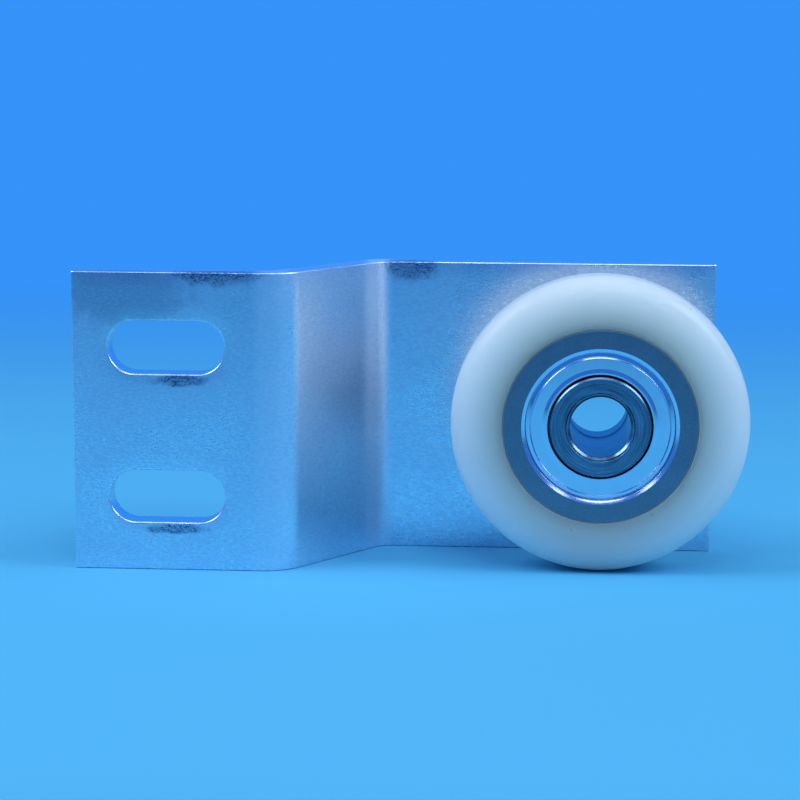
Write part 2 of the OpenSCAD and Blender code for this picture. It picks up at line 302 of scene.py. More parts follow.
class BentPlate:
    """The plate as a flat pattern, with the bends worked out from its sizes.

    On the pattern, s runs along the front face from the mounting end and z runs up it.
    The heading turns by the web's slope over the first bend, whose front is its outside,
    and back again over the second, whose front is its inside.
    """

    # Steps along the top of a grid round a slot and round the hole for the sleeve, and
    # rings of both
    SLOT_ACROSS, AXLE_ACROSS, RINGS = 52, 44, 20
    # Steps over half the height and over each bend, the web and the roller flange's start
    TALL, BEND, WEB, FLANGE = 30, 14, 12, 16
    # How much closer together the heights get towards the edge
    GRADING = 1.7
    # From the roller's centre back to the start of the grid round the sleeve
    AXLE_REACH = 22 * MM
    # Rims of holes that edges() gives before the outline
    HOLES = 3

    def __init__(self, sizes):
        self.sizes = sizes
        self.slope = sizes.web_slope
        self.outer = sizes.inside_bend + sizes.sheet
        self.inner = sizes.inside_bend
        self.half_height = BRACKET_HIGH.z
        self.front_x, self.front_y = BRACKET_LOW.x, BRACKET_LOW.y
        step = BRACKET_HIGH.y - sizes.sheet - BRACKET_LOW.y
        setback = math.tan(self.slope / 2)
        web = step / math.sin(self.slope) - (self.outer + self.inner) * setback
        self.bend_1 = sizes.mounting_flange - self.outer * setback
        self.web_start = self.bend_1 + self.outer * self.slope
        self.bend_2 = self.web_start + web
        self.flat_start = self.bend_2 + self.inner * self.slope
        corner_2 = BRACKET_LOW.x + sizes.mounting_flange + step / math.tan(self.slope)
        flat_x = corner_2 + self.inner * setback
        self.length = self.flat_start + BRACKET_HIGH.x - flat_x
        self.axle = self.flat_start - flat_x
        self.slot_half = (sizes.slot_length - sizes.slot_width) / 2
        self.slot_radius = sizes.slot_width / 2

    def place(self, s, z, depth):
        """A point of the pattern, at a depth behind the front face, in the frame.

        The front path is the sum of its straight runs and of r(sin h) and r(1 - cos h)
        over each bend, and depth runs along the normal (-sin h, cos h)."""
        first = np.clip((s - self.bend_1) / self.outer, 0, self.slope)
        second = self.slope - np.clip((s - self.bend_2) / self.inner, 0, self.slope)
        run = np.clip(s, self.web_start, self.bend_2) - self.web_start
        x = (self.front_x + np.minimum(s, self.bend_1) + self.outer * np.sin(first)
             + run * math.cos(self.slope)
             + self.inner * (math.sin(self.slope) - np.sin(second))
             + np.maximum(s - self.flat_start, 0))
        y = (self.front_y + self.outer * (1 - np.cos(first)) + run * math.sin(self.slope)
             + self.inner * (np.cos(second) - math.cos(self.slope)))
        heading = first + second - self.slope
        return np.stack([x - depth * np.sin(heading), y + depth * np.cos(heading), z + 0 * s],
                        axis=-1)

    def drawn_in(self, s, z):
        """How far the front face is drawn in: a parabola that falls off over a set
        distance from the nearest cut edge, added up over the outline and the slots."""
        width, depth = self.sizes.draw_width, self.sizes.draw_in
        outline = np.minimum(np.minimum(s, self.length - s), self.half_height - np.abs(z))
        over = np.maximum(np.abs(s - self.sizes.slot_from_end) - self.slot_half, 0)
        slot = np.hypot(over, np.abs(z) - self.sizes.slot_spacing / 2) - self.slot_radius
        return sum(depth * np.clip(1 - gap / width, 0, 1) ** 2 for gap in (outline, slot))

    def half_heights(self, inset):
        """Heights from the middle up to the edge, closer together towards the edge: the
        rest of the way up is a power of the rest of the steps."""
        rest = 1 - np.linspace(0, 1, self.TALL + 1)
        return (self.half_height - inset) * (1 - rest ** self.GRADING)

    def full_heights(self, inset):
        """The same heights, from the lower edge to the upper."""
        up = self.half_heights(inset)
        return np.concatenate([-up[:0:-1], up])

    @staticmethod
    def rectangle(east, west, heights, across):
        """Outline of a rectangle: up its east side, back along its top, down its west
        side and along its bottom."""
        run = np.linspace(0, 1, across + 1)
        right = np.stack([np.full_like(heights, east), heights], axis=1)
        upper = np.stack([east + (west - east) * run, np.full_like(run, heights[-1])], axis=1)
        left = np.stack([np.full_like(heights, west), heights[::-1]], axis=1)
        lower = np.stack([west + (east - west) * run, np.full_like(run, heights[0])], axis=1)
        return np.concatenate([right[:-1], upper[:-1], left[:-1], lower])

    def ruled(self, inside, outside):
        """Grid from one loop straight to another, with its rings closer together at both:
        their share of the way is (1 - cos a) / 2, for even steps of a over half a turn."""
        part = (1 - np.cos(np.linspace(0, np.pi, self.RINGS + 1)))[:, None, None] / 2
        return inside + (outside - inside) * part

    def slot_block(self, inset, hole_inset):
        """Grid from the upper slot's outline to the rectangle round it.

        Both loops start at the lower right and run anticlockwise. The rectangle's four
        sides meet the slot's outline at 45 degrees on its two round ends."""
        heights = self.half_heights(inset)
        outside = self.rectangle(self.bend_1, inset, heights, self.SLOT_ACROSS)
        radius, straight = self.slot_radius + hole_inset, 2 * self.slot_half
        quarter = radius * np.pi / 2
        side = np.linspace(0, quarter, len(heights))
        over = np.linspace(0, quarter + straight, self.SLOT_ACROSS + 1)
        travel = np.concatenate([side[:-1], quarter + over[:-1],
                                 quarter + over[-1] + side[:-1],
                                 2 * quarter + over[-1] + over])
        # from the rightmost point of the slot, half a quarter turn further on
        travel = travel - quarter / 2
        half_lap = 2 * quarter + straight
        lap = travel % (2 * half_lap)
        flip = np.where(lap >= half_lap, -1, 1)
        lap = np.where(lap >= half_lap, lap - half_lap, lap)
        # over half a lap: a quarter turn up, the straight, a quarter turn down
        angle = np.clip(lap / radius, 0, np.pi / 2) + np.clip(
            (lap - quarter - straight) / radius, 0, np.pi / 2)
        shift = self.slot_half - np.clip(lap - quarter, 0, straight)
        inside = np.stack([self.sizes.slot_from_end + flip * (shift + radius * np.cos(angle)),
                           self.sizes.slot_spacing / 2 + flip * radius * np.sin(angle)], axis=1)
        return self.ruled(inside, outside)

    def web_block(self, inset):
        """Plain grid over both bends, the web and the start of the roller flange."""
        stations = np.concatenate([
            np.linspace(self.bend_1, self.web_start, self.BEND + 1)[:-1],
            np.linspace(self.web_start, self.bend_2, self.WEB + 1)[:-1],
            np.linspace(self.bend_2, self.flat_start, self.BEND + 1)[:-1],
            np.linspace(self.flat_start, self.axle - self.AXLE_REACH, self.FLANGE + 1)])
        return np.stack(np.meshgrid(stations, self.full_heights(inset), indexing="ij"), axis=-1)

    def axle_block(self, inset, radius):
        """Grid from the hole for the sleeve to the rectangle round it. Each side of the
        rectangle stands over a quarter of the circle."""
        heights = self.full_heights(inset)
        outside = self.rectangle(self.length - inset, self.axle - self.AXLE_REACH, heights,
                                 self.AXLE_ACROSS)
        side = np.linspace(0, np.pi / 2, len(heights))
        over = np.linspace(0, np.pi / 2, self.AXLE_ACROSS + 1)
        angle = np.concatenate([side[:-1], np.pi / 2 + over[:-1], np.pi + side[:-1],
                                1.5 * np.pi + over]) - np.pi / 4
        inside = np.stack([self.axle + radius * np.cos(angle), radius * np.sin(angle)], axis=1)
        return self.ruled(inside, outside)

    def blocks(self, inset, hole_inset, hole_radius):
        """The four grids of a face, with the outline and the holes' rims moved in."""
        upper = self.slot_block(inset, hole_inset)
        lower = upper * np.array([1, -1])
        return (upper, lower, self.web_block(inset),
                self.axle_block(inset, hole_radius + hole_inset))

    def edges(self, inset, hole_inset, hole_radius):
        """The open edges of those grids: the rims of the holes, then the outline."""
        upper, lower, web, axle = self.blocks(inset, hole_inset, hole_radius)
        slot_outline = slice(self.TALL, 2 * self.TALL + self.SLOT_ACROSS + 1)
        axle_right_top = slice(0, 2 * self.TALL + self.AXLE_ACROSS + 1)
        axle_bottom = slice(4 * self.TALL + self.AXLE_ACROSS, None)
        return (upper[0], lower[0], axle[0], upper[-1, slot_outline], lower[-1, slot_outline],
                web[:, 0], web[:, -1], axle[-1, axle_right_top], axle[-1, axle_bottom])


def edge_profile(roll, sizes):
    """Insets and depths from front to back over an edge: a quarter turn of the rolled
    radius, a straight wall and a quarter turn of the back radius. Also tells which of
    them follow the drawn-in front face."""
    burr, sheet = sizes.back_edge, sizes.sheet
    front_points, wall_points, back_points = 8, 6, 4
    front = np.linspace(0, np.pi / 2, front_points)
    wall, top = np.linspace(0, 1, wall_points)[1:-1], roll + sizes.draw_in
    back = np.linspace(np.pi / 2, 0, back_points)
    inset = np.concatenate([roll * (1 - np.sin(front)), 0 * wall, burr * (1 - np.sin(back))])
    depth = np.concatenate([roll * (1 - np.cos(front)), top + (sheet - burr - top) * wall,
                            sheet - burr * (1 - np.cos(back))])
    return inset, depth, np.arange(len(inset)) < front_points


def bracket_grids(sizes, hole_radius):
    """Front face, back face and the edges between them."""
    plate = BentPlate(sizes)
    grids = []
    for block in plate.blocks(sizes.outline_roll, sizes.front_roll, hole_radius):
        s, z = block[..., 0], block[..., 1]
        grids.append(plate.place(s, z, plate.drawn_in(s, z)))
    for block in plate.blocks(sizes.back_edge, sizes.back_edge, hole_radius):
        grids.append(plate.place(block[..., 0], block[..., 1], sizes.sheet))
    outline, outline_depth, follows_front = edge_profile(sizes.outline_roll, sizes)
    hole, hole_depth, _ = edge_profile(sizes.front_roll, sizes)
    rims = [plate.edges(*insets, hole_radius) for insets in zip(outline, hole)]
    for number, rim in enumerate(zip(*rims)):
        depths = hole_depth if number < plate.HOLES else outline_depth
        rows = []
        for points, depth, follows in zip(rim, depths, follows_front):
            s, z = points[:, 0], points[:, 1]
            rows.append(plate.place(s, z, depth + (plate.drawn_in(s, z) if follows else 0)))
        grids.append(np.stack(rows))
    return grids


# ---- Finishes ----

class Nodes:
    """A tree of nodes, with short calls to add and join them."""

    def __init__(self, tree):
        self.tree = tree
        self.tree.nodes.clear()

    def feed(self, socket, value):
        """Joins an output to a socket, or sets the socket to a plain value."""
        if isinstance(value, bpy.types.NodeSocket):
            self.tree.links.new(value, socket)
        else:
            socket.default_value = value

    def add(self, kind, settings=(), **sockets):
        """A new node, with its settings and with its sockets fed by name."""
        node = self.tree.nodes.new(kind)
        for key, value in dict(settings).items():
            setattr(node, key, value)
        for key, value in sockets.items():
            name = key.replace("_", " ")
            self.feed(next(s for s in node.inputs if s.name.lower() == name), value)
        return node

    def combine(self, operation, first, second, clamp=False):
        """One number out of two."""
        node = self.add("ShaderNodeMath", {"operation": operation, "use_clamp": clamp})
        for socket, value in zip(node.inputs, (first, second)):
            self.feed(socket, value)
        return node.outputs[0]

    def plus(self, first, second, clamp=False):
        """Sum of two numbers, held between 0 and 1 if it is clamped."""
        return self.combine("ADD", first, second, clamp)

    def times(self, first, second):
        """Product of two numbers."""
        return self.combine("MULTIPLY", first, second)

    def larger(self, first, second):
        """The larger of two numbers."""
        return self.combine("MAXIMUM", first, second)

    def reach(self, vector):
        """Length of a vector."""
        node = self.add("ShaderNodeVectorMath", {"operation": "LENGTH"}, vector=vector)
        return node.outputs["Value"]

    def spread(self, value, low, high, to_low=0.0, to_high=1.0, smooth=False):
        """Carries a value's range to another range, held at its ends."""
        node = self.add("ShaderNodeMapRange",
                        {"clamp": True,
                         "interpolation_type": "SMOOTHSTEP" if smooth else "LINEAR"},
                        value=value, from_min=low, from_max=high, to_min=to_low,
                        to_max=to_high)
        return node.outputs["Result"]

    def seen(self):
        """1 for what the camera sees straight on or by way of metal and glass, else 0."""
        ray = self.add("ShaderNodeLightPath")
        sight = ray.outputs["Is Camera Ray"]
        for kind in ("Is Glossy Ray", "Is Transmission Ray"):
            sight = self.larger(sight, ray.outputs[kind])
        return sight

    def blend(self, part, first, second):
        """Shader between two shaders."""
        node = self.add("ShaderNodeMixShader")
        for socket, value in zip(node.inputs, (part, first.outputs[0], second.outputs[0])):
            self.feed(socket, value)
        return node.outputs[0]


class Finish(Nodes):
    """A material of one shader, with patterns on the frame's own coordinates."""

    def __init__(self, name, metallic=1.0):
        self.material = bpy.data.materials.new(name)
        self.material.use_nodes = True
        super().__init__(self.material.node_tree)
        self.shader = self.add("ShaderNodeBsdfPrincipled", metallic=metallic)
        self.output = self.add("ShaderNodeOutputMaterial", surface=self.shader.outputs[0])
        self.place = self.add("ShaderNodeTexCoord").outputs["Object"]

    def along(self, axis):
        """Distance from the origin along an axis of the frame."""
        return self.add("ShaderNodeSeparateXYZ", vector=self.place).outputs[axis]

    def noise(self, scale, detail=2.0, roughness=0.5, place=None):
        """Noise of that many grains to the metre, from 0 to 1."""
        return self.add("ShaderNodeTexNoise", vector=place or self.place, scale=scale,
                        detail=detail, roughness=roughness).outputs["Fac"]

    def mix(self, part, first, second):
        """Colour between two colours."""
        node = self.add("ShaderNodeMix", {"data_type": "RGBA"})
        self.feed(node.inputs["Factor"], part)
        for socket, value in zip(node.inputs[6:8], (first, second)):
            if not isinstance(value, bpy.types.NodeSocket):
                value = (*value, 1.0)
            self.feed(socket, value)
        return node.outputs[2]

    def radius(self):
        """Distance from the roller's axis."""
        flat = self.add("ShaderNodeVectorMath", {"operation": "MULTIPLY"}, vector=self.place)
        self.feed(flat.inputs[1], (1, 0, 1))
        return self.reach(flat.outputs[0])

    def rings(self, lines_per_metre, arcs=0.0):
        """Turned marks: noise that changes with the radius and the station. Round the axis
        it changes as it does on a circle of radius arcs, which breaks the marks up."""
        radius = self.radius()
        spot = self.add("ShaderNodeCombineXYZ", x=self.plus(radius, self.along("Y")))
        if arcs:
            for axis, target in (("X", "Y"), ("Z", "Z")):
                part = self.combine("DIVIDE", self.along(axis), radius)
                self.feed(spot.inputs[target], self.times(part, arcs))
        return self.noise(lines_per_metre, 3.0, 0.6, place=spot.outputs[0])

    def oval_patch(self, centre, size, depth=4.0):
        """1 inside an oval patch about a point, 0 outside, with an uneven edge. All is in
        millimetres: the centre, the sizes along X and Z, and the depth along Y, which
        doesn't reach through the plate."""
        moved = self.add("ShaderNodeMapping", {"vector_type": "TEXTURE"}, vector=self.place,
                         location=tuple(side * MM for side in centre),
                         scale=(size[0] * MM, depth * MM, size[1] * MM))
        edge = self.plus(self.reach(moved.outputs[0]), self.noise(420, 4.0, 0.7))
        return self.spread(edge, 0.95, 1.45, 1.0, 0.0, smooth=True)

    def bump(self, height, distance, strength=1.0, below=None):
        """Roughens the surface by a height from 0 to 1 times a distance in metres."""
        sockets = {"height": height, "distance": distance, "strength": strength}
        if below is not None:
            sockets["normal"] = below
        return self.add("ShaderNodeBump", **sockets).outputs["Normal"]

    def paint(self, **sockets):
        """Feeds the shader's sockets and gives the material."""
        for key, value in sockets.items():
            self.feed(self.shader.inputs[key.replace("_", " ")], value)
        return self.material


def darker(tint, share):
    """A share of a colour."""
    return tuple(share * part for part in tint)


def zinc_darkening(f, grain, fine, rear):
    """How dark the plating is made: speckled dark patches below the top edges and the slots,
    and a broad thin painted shade in the mounting flange's upper corner. Places are in
    millimetres, on the mounting flange's front face and on the roller flange's, rear."""
    front = BRACKET_LOW.y / MM
    patches = (((-72, front, 28.6), (12, 3.4)), ((-37, rear, 28.4), (7, 4.8)),
               ((-79, front, 8.0), (7, 1.5)), ((-80, front, -20.6), (8, 1.2)))
    dark_patches = 0.0
    for centre, size in patches:
        dark_patches = f.larger(f.oval_patch(centre, size), dark_patches)
    speckle = f.spread(f.plus(grain, fine), 0.85, 1.12, 1.0, 0.3)
    # painted shade: a broad dark patch in the mounting flange's upper corner
    shade = f.oval_patch((-90, front, 25), (17, 9))
    return f.larger(f.times(f.times(dark_patches, speckle), 0.95), f.times(shade, 0.30))


def zinc_painted_sheen(f, fine):
    """Painted sheen: pale bands painted over the two bends for their bright reflections, and a
    little on the web between them. The same bands roughen the plating. Each band runs from one X
    to another, in millimetres."""
    x, fade, painted_sheen = f.along("X"), 2.5, 0.0
    for start, end, depth in ((-66, -57.5, 0.45), (-60, -44, 0.18), (-47, -40, 0.8)):
        rise = f.spread(x, start * MM, (start + fade) * MM, 0.0, depth, smooth=True)
        fall = f.spread(x, (end - fade) * MM, end * MM, 1.0, 0.0, smooth=True)
        painted_sheen = f.larger(f.times(rise, fall), painted_sheen)
    return f.times(painted_sheen, f.spread(fine, 0.35, 0.65, 0.6, 1.3))


def zinc_finish(colours, rear):
    """Zinc plating: fine bright grain drawn out along the strip, cloudy patches, a
    slightly wavy surface, dark patches, a painted shade and a pale painted sheen over the bends.
    rear is the Y of the roller flange's front face, in millimetres."""
    f = Finish("zinc_plate")
    stretched = f.add("ShaderNodeMapping", vector=f.place, scale=(0.45, 0.45, 1.0)).outputs[0]
    grain = f.noise(2600, 3.0, 0.7, place=stretched)
    fine = f.noise(4800, 2.0, 0.6, place=stretched)
    clouds = f.noise(75, 4.0, 0.6)
    tone = f.plus(f.spread(clouds, 0.3, 0.7, 0.0, 0.30), f.spread(grain, 0.38, 0.62, 0.0, 0.70))
    base = f.mix(tone, colours.zinc, colours.zinc_dull)
    # darkened towards deep blue by the dark patches and by the painted shade in the upper corner
    base = f.mix(zinc_darkening(f, grain, fine, rear), base, (0.06, 0.11, 0.22))
    painted_sheen = zinc_painted_sheen(f, fine)
    # painted sheen: the bends' colour is paled towards white
    base = f.mix(f.times(painted_sheen, 0.5), base, (0.95, 0.97, 1.0))
    rough = f.plus(f.spread(clouds, 0.3, 0.7, 0.24, 0.34), f.spread(grain, 0.2, 0.8, -0.05, 0.06))
    rough = f.plus(rough, f.times(painted_sheen, 0.22))
    wave = f.bump(f.noise(28, 2.0, 0.5), 0.22 * MM)
    normal = f.bump(fine, 0.02 * MM, 0.8, f.bump(grain, 0.03 * MM, 0.8, wave))
    return f.paint(Base_Color=base, Roughness=rough, Normal=normal)


def ground_finish(colours, recess):
    """Ground steel: dark, even and dull, with a very fine grain. The bevelled mouth of
    the shield's recess, inside the radius of the recess, is turned bright."""
    f = Finish("ground_steel")
    grain = f.noise(3600, 3.0, 0.7)
    clouds = f.noise(140, 3.0, 0.6)
    tone = f.plus(f.spread(clouds, 0.3, 0.7, 0.0, 0.3), f.spread(grain, 0.3, 0.7, 0.0, 0.5))
    base = f.mix(tone, colours.ground, darker(colours.ground, 0.6))
    bright = f.spread(f.radius(), recess - 0.01 * MM, recess + 0.03 * MM, 1.0, 0.0)
    base = f.mix(bright, base, colours.shield)
    rough = f.plus(f.spread(grain, 0.2, 0.8, 0.30, 0.42), f.times(bright, -0.20))
    return f.paint(Base_Color=base, Roughness=rough, Normal=f.bump(grain, 0.012 * MM, 0.6))


def turned_finish(colours):
    """Turned steel: fine broken rings round the axis."""
    f = Finish("turned_steel")
    fine = f.rings(4600, 0.3 * MM)
    coarse = f.rings(1700, 0.4 * MM)
    dark = f.plus(f.spread(fine, 0.34, 0.66, 0.0, 0.50), f.spread(coarse, 0.35, 0.65, 0.0, 0.30))
    base = f.mix(dark, colours.turned, darker(colours.turned, 0.18))
    rough = f.spread(fine, 0.25, 0.75, 0.20, 0.36)
    return f.paint(Base_Color=base, Roughness=rough, Normal=f.bump(fine, 0.012 * MM, 0.8))


def shield_finish(colours):
    """Bright pressed sheet, nearly a mirror."""
    f = Finish("shield_steel")
    clouds = f.noise(260, 3.0, 0.6)
    rough = f.spread(clouds, 0.3, 0.7, 0.10, 0.17)
    base = f.mix(f.spread(clouds, 0.35, 0.75, 0.0, 0.3), colours.shield,
                 darker(colours.shield, 0.85))
    return f.paint(Base_Color=base, Roughness=rough, Normal=f.bump(clouds, 0.006 * MM, 0.5))


def nylon_finish(colours):
    """Milky nylon: light enters and spreads. Round the ring it is painted darker and greener,
    a painted shade for light that passes through thick nylon, with faint turned marks and a few
    specks."""
    f = Finish("nylon", metallic=0.0)
    clouds = f.noise(90, 3.0, 0.55)
    rings = f.rings(1400)
    specks = f.spread(f.noise(700, 1.0, 0.4), 0.79, 0.83)
    # painted shade: the nylon is darker and greener near the ring, fading out by 26 mm
    outward = f.spread(f.radius(), 19 * MM, 26 * MM, smooth=True)
    unshaded = f.plus(outward, f.spread(clouds, 0.3, 0.7, -0.12, 0.12), clamp=True)
    base = f.mix(unshaded, colours.nylon_shaded, colours.nylon)
    base = f.mix(f.times(specks, 0.6), base, (0.25, 0.30, 0.30))
    rough = f.plus(f.spread(rings, 0.3, 0.7, 0.25, 0.34), f.spread(clouds, 0.3, 0.7, 0.0, 0.05))
    normal = f.bump(f.noise(900, 2.0, 0.5), 0.02 * MM, 0.25, f.bump(rings, 0.01 * MM, 0.35))
    return f.paint(Base_Color=base, Roughness=rough, Normal=normal,
                   Subsurface_Weight=1.0, Subsurface_Radius=(1.0, 1.0, 0.9),
                   Subsurface_Scale=0.03, Subsurface_Anisotropy=0.6,
                   Specular_IOR_Level=0.25, IOR=1.52)


def hidden_finish(name, tint, smoothest, roughest):
    """Plain bright steel for the balls and the cage inside the bearing."""
    f = Finish(name)
    clouds = f.noise(900, 3.0, 0.6)
    base = f.mix(clouds, tint, darker(tint, 0.8))
    rough = f.spread(clouds, 0.3, 0.7, smoothest, roughest)
    return f.paint(Base_Color=base, Roughness=rough, Normal=f.bump(clouds, 0.004 * MM, 0.4))


# ---- Operators ----

class DOORROLLER_OT_bracket(bpy.types.Operator):
    """Makes the bent zinc-plated plate with its two slots"""
    bl_idname = "door_roller.bracket"
    bl_label = "Bracket"

    def execute(self, context):
        sizes, bearing = context.scene.bracket_sizes, context.scene.bearing_sizes
        rear = (BRACKET_HIGH.y - sizes.sheet) / MM
        piece = solid_from("bent_plate", bracket_grids(sizes, bearing.seat_radius))
        finish_piece(piece, "bracket", ["bracket_plate"],
                     zinc_finish(context.scene.finishes, rear))
        return {"FINISHED"}


class DOORROLLER_OT_tyre(bpy.types.Operator):
    """Makes the nylon tyre"""
    bl_idname = "door_roller.tyre"
    bl_label = "Tyre"

    def execute(self, context):
        sizes = context.scene.tyre_sizes
        outer, half, bore = TYRE_HIGH.x, TYRE_HIGH.y, sizes.bore_radius
        rim, dish, root, tip = 0.25 * MM, 4 * MM, 0.02 * MM, 0.05 * MM
        side = [(bore, sizes.hub_half_width, rim), (sizes.dish_radius, half, dish),
                (outer, half - sizes.draft, sizes.shoulder)]
        near, far, crest = GROOVE_NEAR + GAP, GROOVE_FAR - GAP, bore - GROOVE_DEPTH
        rib = [(bore, near, root), (crest, near, tip), (crest, far, tip), (bore, far, root)]
        outline = filleted(side + mirrored(side) + mirrored(rib) + rib, steps=14)
        piece = turned_piece("tyre", outline, context.scene.bearing_sizes.turned_steps)
        finish_piece(piece, "roller", ["nylon_tyre"],
                     nylon_finish(context.scene.finishes))
        return {"FINISHED"}


class DOORROLLER_OT_outer_ring(bpy.types.Operator):
    """Makes the bearing's outer ring"""
    bl_idname = "door_roller.outer_ring"
    bl_label = "Outer ring"

    def execute(self, context):
        s = context.scene.bearing_sizes
        arc, shoulder = track(s, 1)
        outer, face = RING_HIGH.x, RING_HIGH.y
        recess, mouth, floor = s.recess_radius, s.mouth_radius, outer - GROOVE_DEPTH
        ledge, lip, bevel = face - 1.38 * MM, face - 0.8 * MM, face - 0.3 * MM
        chamfer, small, soft = 0.3 * MM, 0.04 * MM, 0.06 * MM
        front = [(shoulder, -ledge, small), (recess, -ledge, small), (recess, -lip, small),
                 (mouth, -lip, small), (mouth, -bevel, 0.05 * MM), (recess, -face, 0.10 * MM),
                 (outer - chamfer, -face, soft), (outer, chamfer - face, soft),
                 (outer, -GROOVE_FAR, small), (floor, -GROOVE_FAR, small),
                 (floor, -GROOVE_NEAR, small), (outer, -GROOVE_NEAR, small)]
        outline = np.concatenate([filleted(front + mirrored(front), steps=4), arc[::-1]])
        piece = turned_piece("outer_ring", outline, s.turned_steps)
        finish_piece(piece, "roller", ["bearing_outer_ring"],
                     ground_finish(context.scene.finishes, recess))
        return {"FINISHED"}


class DOORROLLER_OT_shields(bpy.types.Operator):
    """Makes the two pressed shields"""
    bl_idname = "door_roller.shields"
    bl_label = "Shields"

    def execute(self, context):
        s = context.scene.bearing_sizes
        recess, mouth, sheet, face = s.recess_radius, s.mouth_radius, s.shield_sheet, RING_HIGH.y
        edge = 0.05 * MM
        # round the hub
        hole = s.hub_radius + 0.45 * MM
        # radius, depth behind the ring's face, fillet
        pressed = [(recess - 0.03 * MM, 0.85 * MM, edge),
                   (recess - 0.30 * MM, 0.85 * MM, 0.08 * MM),
                   (mouth, 1.05 * MM, 0.08 * MM),
                   (mouth - 0.20 * MM, 0.97 * MM, 0.06 * MM),
                   (mouth - 0.90 * MM, 0.85 * MM, 0.10 * MM),
                   (mouth - 1.20 * MM, 0.60 * MM, 0.12 * MM),
                   (hole + 1.00 * MM, 0.60 * MM, 0.50 * MM),
                   (hole + 0.35 * MM, 0.45 * MM, 0.30 * MM),
                   (hole, 0.45 * MM, edge)]
        behind = [(radius, depth + sheet, fillet) for radius, depth, fillet in reversed(pressed)]
        material = shield_finish(context.scene.finishes)
        for node, side in (("shield_front", -1), ("shield_back", 1)):
            outline = [(radius, side * (face - depth), fillet)
                       for radius, depth, fillet in pressed + behind]
            piece = turned_piece("pressed_" + node, filleted(outline, steps=5), s.turned_steps)
            finish_piece(piece, "roller", [node], material)
        return {"FINISHED"}


class DOORROLLER_OT_inner_ring(bpy.types.Operator):
    """Makes the bearing's inner ring with its two hubs"""
    bl_idname = "door_roller.inner_ring"
    bl_label = "Inner ring"

    def execute(self, context):
        s = context.scene.bearing_sizes
        arc, shoulder = track(s, -1)
        hub, face, seat, chamfer = s.hub_radius, HUB_HIGH.y, s.seat_radius, s.bore_chamfer
        edge, small, hub_foot = 0.3 * MM, 0.05 * MM, 2.6 * MM
        side = [(seat, face - chamfer, small), (seat + chamfer, face, small),
                (hub - edge, face, small), (hub, face - edge, small),
                (hub, hub_foot, small), (shoulder, hub_foot, small)]
        outline = filleted(side + mirrored(side), steps=4)
        middle = len(outline) // 2
        outline = np.concatenate([outline[:middle], arc[::-1], outline[middle:]])
        piece = turned_piece("inner_ring", outline, s.turned_steps)
        finish_piece(piece, "bracket", ["bearing_inner_ring"],
                     turned_finish(context.scene.finishes))
        return {"FINISHED"}


class DOORROLLER_OT_rivet(bpy.types.Operator):
    """Makes the rivet sleeve and the spacer behind the bearing"""
    bl_idname = "door_roller.rivet"
    bl_label = "Rivet and spacer"

    def execute(self, context):
        s = context.scene.bearing_sizes
        material = turned_finish(context.scene.finishes)
        bore, chamfer = s.bore_radius, s.bore_chamfer
        face, top, head = SLEEVE_LOW.y, SLEEVE_HIGH.y, SLEEVE_HIGH.x
        plate_back = BRACKET_HIGH.y
        plate_front = plate_back - context.scene.bracket_sizes.sheet
        # the front lip, opened and turned over into the inner ring's chamfer
        lip, lip_reach, lip_depth = 0.45 * MM, 0.65 * MM, 0.12 * MM
        # the wall, and the swell in the spacer's bore with its ramps
        wall, swell, ramp, start = 0.45 * MM, 0.2 * MM, 0.5 * MM, HUB_HIGH.y - chamfer
        outside = bore + wall
        # the head behind the plate, with its bore opened and dished
        flare, flare_length, dish, rim = 0.2 * MM, 1.2 * MM, 0.4 * MM, 0.5 * MM
        tight, sharp, small, soft = 0.02 * MM, 0.03 * MM, 0.05 * MM, 0.2 * MM
        outline = [
            (bore + lip, face, small), (bore, face + lip, soft),
            (bore, start, soft), (bore + swell, start + ramp, soft),
            (bore + swell, plate_front - ramp, soft), (bore, plate_front, soft),
            (bore, plate_back, 0.4 * MM), (bore + flare, plate_back + flare_length, 0.3 * MM),
            (bore + flare, top - dish, 0.1 * MM), (bore + flare + dish, top, 0.1 * MM),
            (head - rim, top, 0.3 * MM), (head, top - rim, 0.3 * MM),
            (head, plate_back, tight), (outside, plate_back, tight),
            (outside, plate_front, small), (outside + swell, plate_front - ramp, small),
            (outside + swell, start + ramp + chamfer, small),
            (outside, start + chamfer, small), (outside, face + chamfer, small),
            (bore + lip_reach, face + lip_depth, sharp), (bore + lip_reach, face, sharp)]
        piece = turned_piece("rivet_sleeve", filleted(outline, steps=6), s.turned_steps)
        finish_piece(piece, "bracket", ["axle_sleeve"], material)
        inner, outer, edge = outside + swell + GAP, SPACER_HIGH.x, 0.4 * MM
        low, high = SPACER_LOW.y, SPACER_HIGH.y
        outline = [(inner, low, small), (outer - edge, low, small), (outer, low + edge, small),
                   (outer, high - edge, small), (outer - edge, high, small), (inner, high, small)]
        piece = turned_piece("spacer_ring", filleted(outline, steps=4), s.turned_steps)
        finish_piece(piece, "bracket", ["spacer_collar"], material)
        return {"FINISHED"}


class DOORROLLER_OT_balls(bpy.types.Operator):
    """Finishes the balls, the cage and its rivets, which keep their own shapes"""
    bl_idname = "door_roller.balls"
    bl_label = "Balls and cage"

    def execute(self, context):
        colours = context.scene.finishes
        materials = {"cage": hidden_finish("cage_steel", colours.turned, 0.25, 0.4),
                     "ball": hidden_finish("ball_steel", colours.balls, 0.06, 0.12)}
        for name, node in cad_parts.items():
            kind = name.split("_")[0]
            if kind in materials:
                for slot in node.material_slots:
                    slot.material = materials[kind]
        return {"FINISHED"}


class DOORROLLER_OT_stage(bpy.types.Operator):
    """Makes the floor with its backdrop, the lamps, the room's light and the camera"""
    bl_idname = "door_roller.stage"
    bl_label = "Stage"

    def execute(self, context):
        settings = context.scene.stage_settings
        make_floor(settings)
        make_world(context.scene, settings)
        make_lamps(settings)
        make_camera(context.scene, settings)
        context.scene.view_settings.view_transform = "Standard"
        return {"FINISHED"}


